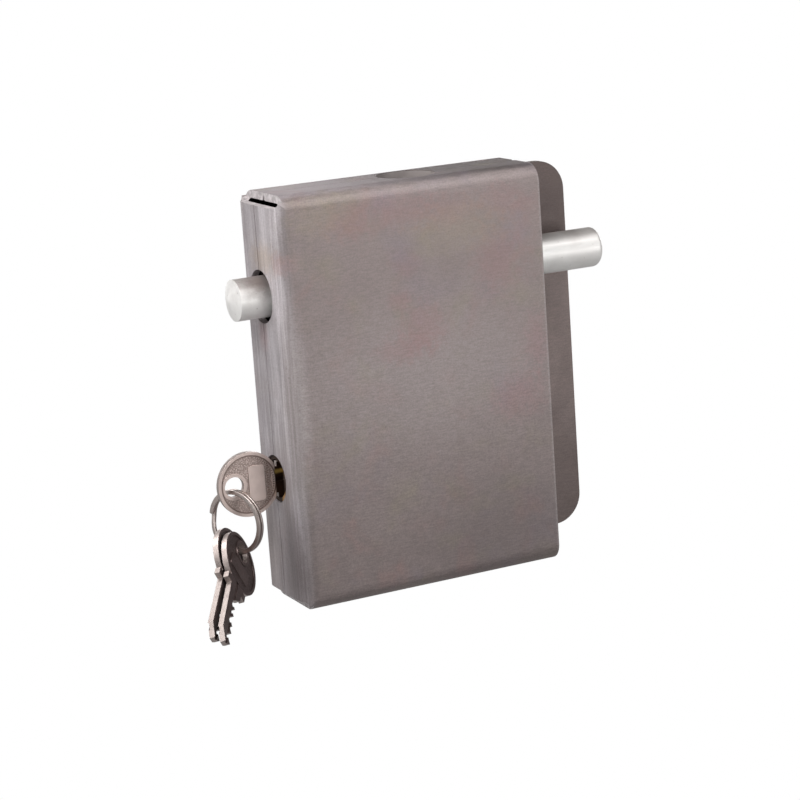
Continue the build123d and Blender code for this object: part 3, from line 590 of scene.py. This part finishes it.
def keyDots(tree, fromBow, across, radius, inner):
    # rows of punched dots: a sine along each row, cut off a little way to both sides of it
    size = keyNickel

    def row(way, count, beside, centre):
        dots = ramp(tree, sums(tree, "SINE", sums(tree, "MULTIPLY", way, count)), *size["dotFade"])
        return sums(tree, "MULTIPLY", nearTo(tree, beside, centre, size["rowFringe"]), dots)

    turn = sums(tree, "ARCTAN2", across, fromBow)
    straight = row(across, math.tau / size["dotPitch"], fromBow, size["rowPlace"])
    ringed = row(turn, round(inner * math.tau / size["dotPitch"]), radius, inner - size["rowInset"])
    dots = sums(tree, "MAXIMUM", straight, ringed)
    dots = sums(tree, "MULTIPLY", dots, ramp(tree, fromBow, *size["dotsFrom"]))
    return sums(tree, "MULTIPLY", dots, fade(tree, radius, inner, size["dotsInside"]))


def keyNeckShade(tree, place, fromBow, look, colour):
    # painted shade and reflection: the neck stands in the cylinder's mouth, and is painted as its shade with a
    # streak of reflected brass
    size = keyNickel
    neckEnd = plugLow.x - bowHole.x - size["bowCentre"]
    neckShade = sums(tree, "MULTIPLY", fade(tree, fromBow, size["flat"], size["neckStart"]),
                fade(tree, fromBow, neckEnd, size["neckStop"]))
    colour = blendColour(tree, neckShade, colour, look["neckShade"])
    rubbed = spotAt(tree, place, size["rubbedPlace"], size["rubbedReach"], ragged=0.6)
    return tint(tree, colour, rubbed, neckShade, look["streak"])


def makeKeyMetal(name):
    size, look = keyNickel, keyLooks[name]
    material, tree, shader, place = newMaterial(name, look["metallic"])
    local = put(tree, "Attribute", {"attribute_name": "keyPlace"}).outputs["Vector"]
    along, across, out = put(tree, "SeparateXYZ", in0=local).outputs
    fromBow = sums(tree, "SUBTRACT", along, size["bowCentre"])
    radius = distance(tree, fromBow, across)
    inner = size["bowRadius"] - size["rim"]
    inBow = fade(tree, fromBow, size["flat"] - size["rim"], size["flatFade"])
    level = sums(tree, "ABSOLUTE", out)
    field = sums(tree, "MULTIPLY", fade(tree, level, size["fieldDepth"], size["fieldFade"]), inBow)
    # painted shadow: a dark line where the rim meets the field
    line = nearTo(tree, radius, inner, size["rimShadowLine"])
    dots = keyDots(tree, fromBow, across, radius, inner)
    stipple = use(tree, pitsGroup, Vector=local, Spacing=size["stipple"], Cover=0.62)
    wear = use(tree, cloudsGroup, Vector=place, Size=0.006, Seed=2.0, Low=0.3, High=0.75)
    brushed = use(tree, streaksGroup, Vector=local, Stretch=size["brushed"], Low=0.3, High=0.7)
    hollow = sums(tree, "MULTIPLY", field, sums(tree, "SUBTRACT", 1.0, stipple))
    dull = sums(tree, "MAXIMUM", sums(tree, "MULTIPLY", hollow, size["hollowShare"]),
                sums(tree, "MULTIPLY", dots, size["dotShare"]))
    dull = sums(tree, "MAXIMUM", dull, sums(tree, "MULTIPLY", line, size["lineShare"]))
    colour = tint(tree, look["colour"], wear, look["patch"], look["dark"])
    colour = blendColour(tree, dull, colour, look["dark"])
    if "neckShade" in look:
        colour = keyNeckShade(tree, place, fromBow, look, colour)
    finish(tree, shader, colour, brushed, size["roughness"])
    relief = sums(tree, "ADD", sums(tree, "MULTIPLY", stipple, field),
                  sums(tree, "MULTIPLY", brushed, size["brushedHeight"]))
    relief = sums(tree, "MULTIPLY_ADD", dots, size["dotHeight"], relief)
    bump(tree, shader, relief, size["stippleDepth"], strength=0.9)
    return material


# plain metals: colour, darker patches, grains per metre, roughness range; bright spots are painted highlights and
# reflections, with their centre and reach in millimetres; usualMetal is what a metal has unless it says otherwise
brassGlints = [{"centre": (-56, -19, -27.4), "reach": (9, 9, 1.6), "colour": (0.95, 0.66, 0.20)},
               {"centre": (-56, -24, -37.0), "reach": (6, 3, 5), "colour": (0.55, 0.33, 0.14)}]
usualMetal = {"metallic": 1.0, "relief": 0.00001, "pitHeight": -2.0, "bright": []}
plainMetals = {
    "keyEdge": {"colour": (0.47, 0.405, 0.38), "dark": (0.25, 0.20, 0.185), "stretch": (400, 400, 400),
                "roughness": (0.38, 0.48), "patch": 0.45, "relief": 0.000004, "metallic": 0.75},
    "ringSteel": {"colour": (0.54, 0.47, 0.44), "dark": (0.26, 0.21, 0.20), "stretch": (90, 90, 90),
                  "roughness": (0.31, 0.37), "patch": 0.15, "relief": 0.0000002},
    # painted shade with dark patina: the cylinder's brass is near black, and its bright spots are a painted
    # highlight and reflection
    "barrelBrass": {"colour": (0.040, 0.018, 0.009), "dark": (0.012, 0.006, 0.004),
                    "stretch": (250, 900, 900), "roughness": (0.48, 0.60), "patch": 0.7, "metallic": 0.6,
                    "bright": brassGlints},
    "plugBrass": {"colour": (0.050, 0.023, 0.011), "dark": (0.015, 0.007, 0.005),
                  "stretch": (250, 900, 900), "roughness": (0.44, 0.56), "patch": 0.5, "metallic": 0.6,
                  "bright": brassGlints},
    "plateSteel": {"colour": (0.30, 0.275, 0.265), "dark": (0.14, 0.12, 0.115),
                   "stretch": (300, 1200, 90), "roughness": (0.42, 0.62), "patch": 0.7},
    "turnedSteel": {"colour": (0.55, 0.55, 0.54), "dark": (0.28, 0.27, 0.27),
                    "stretch": (3000, 200, 200), "roughness": (0.24, 0.40), "patch": 0.4},
    "springSteel": {"colour": (0.40, 0.41, 0.43), "dark": (0.16, 0.16, 0.17), "stretch": (600, 600, 600),
                    "roughness": (0.22, 0.36), "patch": 0.3},
    "screwSteel": {"colour": (0.56, 0.57, 0.60), "dark": (0.30, 0.30, 0.32), "stretch": (700, 700, 700),
                   "roughness": (0.24, 0.38), "patch": 0.3},
    "weldMetal": {"colour": (0.19, 0.165, 0.15), "dark": (0.075, 0.052, 0.045), "stretch": (900, 900, 900),
                  "roughness": (0.42, 0.62), "patch": 0.8},
}


def makePlainMetal(name):
    look = {**usualMetal, **plainMetals[name]}
    material, tree, shader, place = newMaterial(name, look["metallic"])
    grain = use(tree, streaksGroup, Vector=place, Stretch=look["stretch"], Low=0.3, High=0.7)
    patches = use(tree, cloudsGroup, Vector=place, Size=0.009, Seed=5.0, Low=0.35, High=0.75)
    pits = use(tree, pitsGroup, Vector=place, Spacing=0.0021, Cover=0.14)
    dull = sums(tree, "MAXIMUM", sums(tree, "MULTIPLY", patches, look["patch"]),
                sums(tree, "MULTIPLY", pits, look["patch"]))
    colour = blendColour(tree, dull, look["colour"], look["dark"])
    # painted highlight and reflection spots
    for spot in look["bright"]:
        rubbed = spotAt(tree, place, spot["centre"], spot["reach"], ragged=0.5)
        colour = blendColour(tree, rubbed, colour, spot["colour"])
    finish(tree, shader, colour, grain, look["roughness"])
    relief = sums(tree, "MULTIPLY_ADD", pits, look["pitHeight"], grain)
    bump(tree, shader, relief, look["relief"], strength=0.6)
    return material


metals = {name: makePlainMetal(name) for name in plainMetals}
metals.update({name: makeKeyMetal(name) for name in keyLooks})
metals.update(caseSteel=makeCaseSteel(), cutEdge=makeCutEdge(), boltSteel=makeBoltSteel())
print("materials:", len(metals))


def standFor(piece, node):
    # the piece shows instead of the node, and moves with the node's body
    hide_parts(node)
    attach(piece, bodyOf[node])


# copies that show instead of CAD nodes: name, edge rounding in metres, steps across it, and metal; the shells
# and keys have a second metal for the faces that are marked for it below
shown = {
    "front_shell": ("case_front", 0.00035, 2, "caseSteel", "cutEdge"),
    "rear_shell": ("case_rear", 0.00035, 2, "caseSteel", "cutEdge"),
    "bolt": ("sliding_bolt", 0.00030, 3, "boltSteel"),
    "right_end_plate": ("end_plate", 0.00030, 2, "plateSteel"),
    "cylinder_barrel": ("barrel", 0.00020, 2, "barrelBrass"),
    "cylinder_plug": ("plug", 0.00015, 2, "plugBrass"),
    "key": ("lock_key", 0.00022, 2, "keyNickel", "keyEdge"),
    "spare_key_1": ("front_spare_key", 0.00022, 2, "spareNickelShaded", "keyEdge"),
    "spare_key_2": ("rear_spare_key", 0.00022, 2, "spareNickelShaded", "keyEdge"),
}
# corners nearer than merge, in metres, become one, faces within flat degrees are joined, and an edge of more
# than sharp degrees is rounded
softening = {"merge": 2e-6, "flat": 0.5, "sharp": 32.0, "areaWeight": 60}


def softenedCopy(node, name, edge, steps, *metalNames):
    # a copy of a CAD node: corners merged, flat faces joined, and every sharp edge rounded by edge metres, or
    # less where faces are narrow; normals are weighted by area so that flats stay flat
    work = bmesh.new()
    work.from_mesh(frame["nodes"][node].data)
    bmesh.ops.remove_doubles(work, verts=work.verts, dist=softening["merge"])
    bmesh.ops.dissolve_limit(work, angle_limit=math.radians(softening["flat"]), verts=work.verts,
                             edges=work.edges)
    mesh = bpy.data.meshes.new(name)
    work.to_mesh(mesh)
    work.free()
    for metal in metalNames:
        mesh.materials.append(metals[metal])
    mesh.polygons.foreach_set("use_smooth", np.ones(len(mesh.polygons), bool))
    piece = bpy.data.objects.new(name, mesh)
    bpy.context.scene.collection.objects.link(piece)
    bevel = piece.modifiers.new("roundedEdges", "BEVEL")
    bevel.limit_method, bevel.angle_limit = "ANGLE", math.radians(softening["sharp"])
    bevel.width, bevel.segments = edge, steps
    bevel.miter_outer, bevel.use_clamp_overlap = "MITER_ARC", True
    normals = piece.modifiers.new("flatFaces", "WEIGHTED_NORMAL")
    normals.weight, normals.keep_sharp = softening["areaWeight"], True
    ready = bpy.data.meshes.new_from_object(piece.evaluated_get(bpy.context.evaluated_depsgraph_get()))
    piece.modifiers.clear()
    piece.data = ready
    ready.name = name
    standFor(piece, node)
    return piece


copies = {node: softenedCopy(node, *choice) for node, choice in shown.items()}
print("pieces that show:", len(copies))


def triples(items, label):
    # a row of three numbers for each vertex or polygon
    flat = np.zeros(len(items) * 3)
    items.foreach_get(label, flat)
    return flat.reshape(-1, 3)


# the closed corners of the shells, in metres: within reach of a corner, the cut faces of the sheet, which lie
# more than a skin inside it, show their own metal
closedCorner = {"reach": 0.0065, "bend": 0.0070, "skin": 0.0003, "sheet": 0.0030}


def markCut(node, flatSide):
    # a face's depth in the sheet is measured from a block with round bends, of which flatSide is one face
    size, mesh = closedCorner, copies[node].data
    x, y, z = triples(mesh.polygons, "center").T
    fromLeft, fromEnd = x - frontLow.x, np.minimum(z - frontLow.z, frontHigh.z - z)
    side = np.maximum(size["bend"] - np.minimum(fromLeft, fromEnd), 0)
    depth = size["bend"] - np.hypot(side, np.maximum(size["bend"] - np.abs(y - flatSide), 0))
    cut = (depth > size["skin"]) & (depth < size["sheet"] - size["skin"])
    cut &= (fromLeft < size["reach"]) & (fromEnd < size["reach"])
    mesh.polygons.foreach_set("material_index", cut.astype(np.int32))
    print("cut faces of", node, int(cut.sum()))


markCut("front_shell", frontLow.y)
markCut("rear_shell", caseHigh.y)


def markKey(node, hole, normal):
    # keyPlace: each point of a key measured from the bow's hole; the key's length is its longest spread
    mesh, out = copies[node].data, np.array(normal) / np.linalg.norm(normal)
    points = triples(mesh.vertices, "co") - np.array(hole)
    flat = points - np.outer(points @ out, out)
    along = np.linalg.svd(flat - flat.mean(0), full_matrices=False)[2][0]
    along *= np.sign((flat @ along)[np.argmax(np.abs(flat @ along))])
    places = np.stack([points @ along, points @ np.cross(out, along), points @ out], 1)
    attribute = mesh.attributes.new("keyPlace", "FLOAT_VECTOR", "POINT")
    attribute.data.foreach_set("vector", places.astype(np.float32).ravel())
    # the stamped-out edges, which look along the key's plane and lie near its middle, take the second metal
    level = np.abs((triples(mesh.polygons, "center") - np.array(hole)) @ out)
    facing = np.abs(triples(mesh.polygons, "normal") @ out)
    edge = (facing < keyNickel["edgeFacing"]) & (level < keyNickel["edgeLevel"])
    mesh.polygons.foreach_set("material_index", edge.astype(np.int32))


markKey("key", (bowHole.x, plugLine.y, plugLine.z), (0, -1, 0))
for number in (1, 2):
    swing = joints[f"spare_key_{number}_swing"]
    markKey(f"spare_key_{number}", swing["pos_m"], [-part for part in swing["axis"]])
print("keys: marked for their stipple")

# nodes that keep their CAD mesh, by metal
kept = {
    "plateSteel": ["left_bolt_guide", "middle_bolt_guide", "upper_bar_guide", "lower_bar_guide",
                   "cylinder_bracket", "locking_bar"],
    "turnedSteel": ["stop_collar", "crank", "crank_pin"],
    "springSteel": ["collar_roll_pin"],
    "screwSteel": ["bracket_screws", "crank_screw"],
    "barrelBrass": ["chamber_cover"],
    "plugBrass": ["driver_pins", "key_pins"],
}
for metal, nodes in kept.items():
    for node in nodes:
        mesh = frame["nodes"][node].data
        mesh.materials.clear()
        mesh.materials.append(metals[metal])
print("inner pieces:", sum(len(nodes) for nodes in kept.values()))


def surface(name, grid, node, metal):
    # a grid of points, rows along a path and columns round a closed section, made into one smooth skin with
    # capped ends, which stands for a node
    rows, columns = grid.shape[:2]
    mesh = bpy.data.meshes.new(name)
    row, column = np.meshgrid(np.arange(rows - 1), np.arange(columns), indexing="ij")
    beside = (column + 1) % columns
    faces = np.stack([row * columns + column, row * columns + beside, (row + 1) * columns + beside,
                      (row + 1) * columns + column], -1).reshape(-1, 4)
    ends = [list(range(columns))[::-1], list(range((rows - 1) * columns, rows * columns))]
    mesh.from_pydata(grid.reshape(-1, 3), [], faces.tolist() + ends)
    mesh.polygons.foreach_set("use_smooth", np.ones(len(mesh.polygons), bool))
    mesh.materials.append(metals[metal])
    piece = bpy.data.objects.new(name, mesh)
    bpy.context.scene.collection.objects.link(piece)
    work = bmesh.new()
    work.from_mesh(mesh)
    bmesh.ops.recalc_face_normals(work, faces=work.faces)
    work.to_mesh(mesh)
    work.free()
    standFor(piece, node)


# split ring of flat wire, in metres and degrees: two coils a gap apart, joined by a jog
splitRing = {"innerRadius": 0.0109, "height": 0.0018, "width": 0.0010, "gap": 0.00045, "jog": 40.0,
             "turned": 190.0, "rounding": 0.00026, "stepDegrees": 2.0, "cornerPoints": 5}


def roundedSection(height, width, rounding, points):
    # a rectangle with round corners: quarter circles about four centres, one after the other
    quarter = np.linspace(0, math.pi / 2, points)
    section = []
    for number, (sideOut, sideUp) in enumerate(((1, 1), (-1, 1), (-1, -1), (1, -1))):
        turn = quarter + number * math.pi / 2
        section.append(np.stack([sideOut * (height / 2 - rounding) + rounding * np.cos(turn),
                                 sideUp * (width / 2 - rounding) + rounding * np.sin(turn)], 1))
    return np.concatenate(section)


def makeRing():
    # the section is carried twice round a circle: at the lower level for one coil, up through the jog by a
    # smooth step, then at the upper level
    size, swing = splitRing, joints["ring_swing"]
    along, up = -Vector(swing["axis"]), Vector((0, 0, 1))
    axis = np.array(along.cross(up))
    middle = size["innerRadius"] + size["height"] / 2
    centre = np.array(swing["pos_m"]) - np.array(up) * middle
    half, level, step = size["jog"] / 2, (size["width"] + size["gap"]) / 2, size["stepDegrees"]
    angle = np.arange(half, 2 * 360 - half + step / 2, step)
    share = np.clip((angle - (360 - half)) / size["jog"], 0, 1)
    rise = level * (2 * share * share * (3 - 2 * share) - 1)
    turn = np.radians(angle + size["turned"])
    outward = np.cos(turn)[:, None] * np.array(along) + np.sin(turn)[:, None] * np.array(up)
    section = roundedSection(size["height"], size["width"], size["rounding"], size["cornerPoints"])
    # the two ends are rounded over: the section shrinks on a quarter circle in the last steps
    fromEnd = np.radians(np.minimum(angle - angle[0], angle[-1] - angle)) * middle
    nearEnd = np.clip(1 - fromEnd / size["rounding"], 0, 1)
    shrink = 1 - size["rounding"] / (size["width"] / 2) * (1 - np.sqrt(1 - nearEnd ** 2))
    reach = middle + shrink[:, None] * section[:, 0]
    height = rise[:, None] + shrink[:, None] * section[:, 1]
    grid = centre + outward[:, None, :] * reach[:, :, None] + axis * height[:, :, None]
    surface("split_ring", grid, "key_ring", "ringSteel")


makeRing()
print("split ring: two coils")

# coil springs on the driver pins; the wire's radius is in metres
pinSpring = {"count": 5, "turns": 7.0, "wire": 0.00016, "stepsPerTurn": 18, "sides": 8}


def makeSprings():
    # a round wire on a helix: the section's circle is carried along it, in the plane of its radius and Z
    low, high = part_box("driver_springs")
    outer, middle = (high.y - low.y) / 2, (low.y + high.y) / 2
    centres = np.linspace(low.x + outer, high.x - outer, pinSpring["count"])
    steps = int(pinSpring["turns"] * pinSpring["stepsPerTurn"]) + 1
    turn = np.linspace(0, pinSpring["turns"] * math.tau, steps)
    side = np.linspace(0, math.tau, pinSpring["sides"], endpoint=False)
    wire = pinSpring["wire"]
    rise = low.z + wire + (high.z - low.z - 2 * wire) * turn / turn[-1]
    reach = outer - wire + wire * np.cos(side)[None, :]
    for number, centre in enumerate(centres):
        grid = np.stack([centre + reach * np.cos(turn)[:, None], middle + reach * np.sin(turn)[:, None],
                         rise[:, None] + wire * np.sin(side)[None, :]], -1)
        surface(f"pin_spring_{number + 1}", grid, "driver_springs", "springSteel")


makeSprings()
print("springs:", pinSpring["count"])

# weld beads: ripples along each bead, in metres; at both ends it narrows over taper, to a least share
weldBead = {"ripple": 0.0021, "rippleDepth": 0.00009, "bulge": 0.00022, "taper": 0.0012, "leastShare": 0.02,
            "rowLength": 0.0003, "fewestRows": 8, "columns": 9}


def islands(mesh):
    # the corners of each loose part of a mesh: labels spread along the edges until none changes
    keys, label = np.unique(np.round(triples(mesh.vertices, "co"), 7), axis=0, return_inverse=True)
    edges = np.zeros(len(mesh.edges) * 2, int)
    mesh.edges.foreach_get("vertices", edges)
    ends = label.ravel()[edges.reshape(-1, 2)]
    island = np.arange(len(keys))
    while True:
        least = np.minimum(island[ends[:, 0]], island[ends[:, 1]])
        before = island.copy()
        np.minimum.at(island, ends[:, 0], least)
        np.minimum.at(island, ends[:, 1], least)
        if (island == before).all():
            break
    return [keys[island == one] for one in np.unique(island)]


def beadGrid(corners):
    # a fillet bead: its corner stands in the joint, and its face bulges by a sine across and ripples by a
    # sine along
    look, low, high = weldBead, corners.min(0), corners.max(0)
    size, middle = high - low, (low + high) / 2
    length = int(np.argmax(size))
    first, second = [axis for axis in range(3) if axis != length]
    # the joint's corner is where two of the three corners of the section share a coordinate
    section = np.unique(np.round(corners[:, [first, second]], 6), axis=0)
    root = np.array([np.median(section[:, 0]), np.median(section[:, 1])])
    tipOne = np.array([low[first] if root[0] > middle[first] else high[first], root[1]])
    tipTwo = np.array([root[0], low[second] if root[1] > middle[second] else high[second]])
    rows = max(look["fewestRows"], int(size[length] / look["rowLength"]))
    step = np.linspace(0, 1, rows)
    across = np.linspace(0, 1, look["columns"] - 1)
    way = step * size[length]
    ripple = np.abs(np.sin(math.pi * way / look["ripple"])) * look["rippleDepth"]
    fromEnd = np.minimum(step, 1 - step) * size[length]
    taper = np.sqrt(np.clip(fromEnd / look["taper"], look["leastShare"], 1))
    chord = tipOne[None, :] * (1 - across[:, None]) + tipTwo[None, :] * across[:, None] - root
    outward = chord / np.linalg.norm(chord, axis=1)[:, None]
    bulge = (look["bulge"] - ripple)[:, None] * np.sin(math.pi * across)[None, :]
    face = root + chord[None, :, :] * taper[:, None, None] + outward[None] * bulge[:, :, None]
    grid = np.zeros((rows, look["columns"], 3))
    grid[:, :, length] = (low[length] + way)[:, None]
    grid[:, :-1, first], grid[:, :-1, second] = face[:, :, 0], face[:, :, 1]
    grid[:, -1, first], grid[:, -1, second] = root
    return grid


beads = islands(frame["nodes"]["weld_beads"].data)
for number, corners in enumerate(beads):
    surface(f"weld_bead_{number + 1}", beadGrid(corners), "weld_beads", "weldMetal")
print("weld beads:", len(beads))
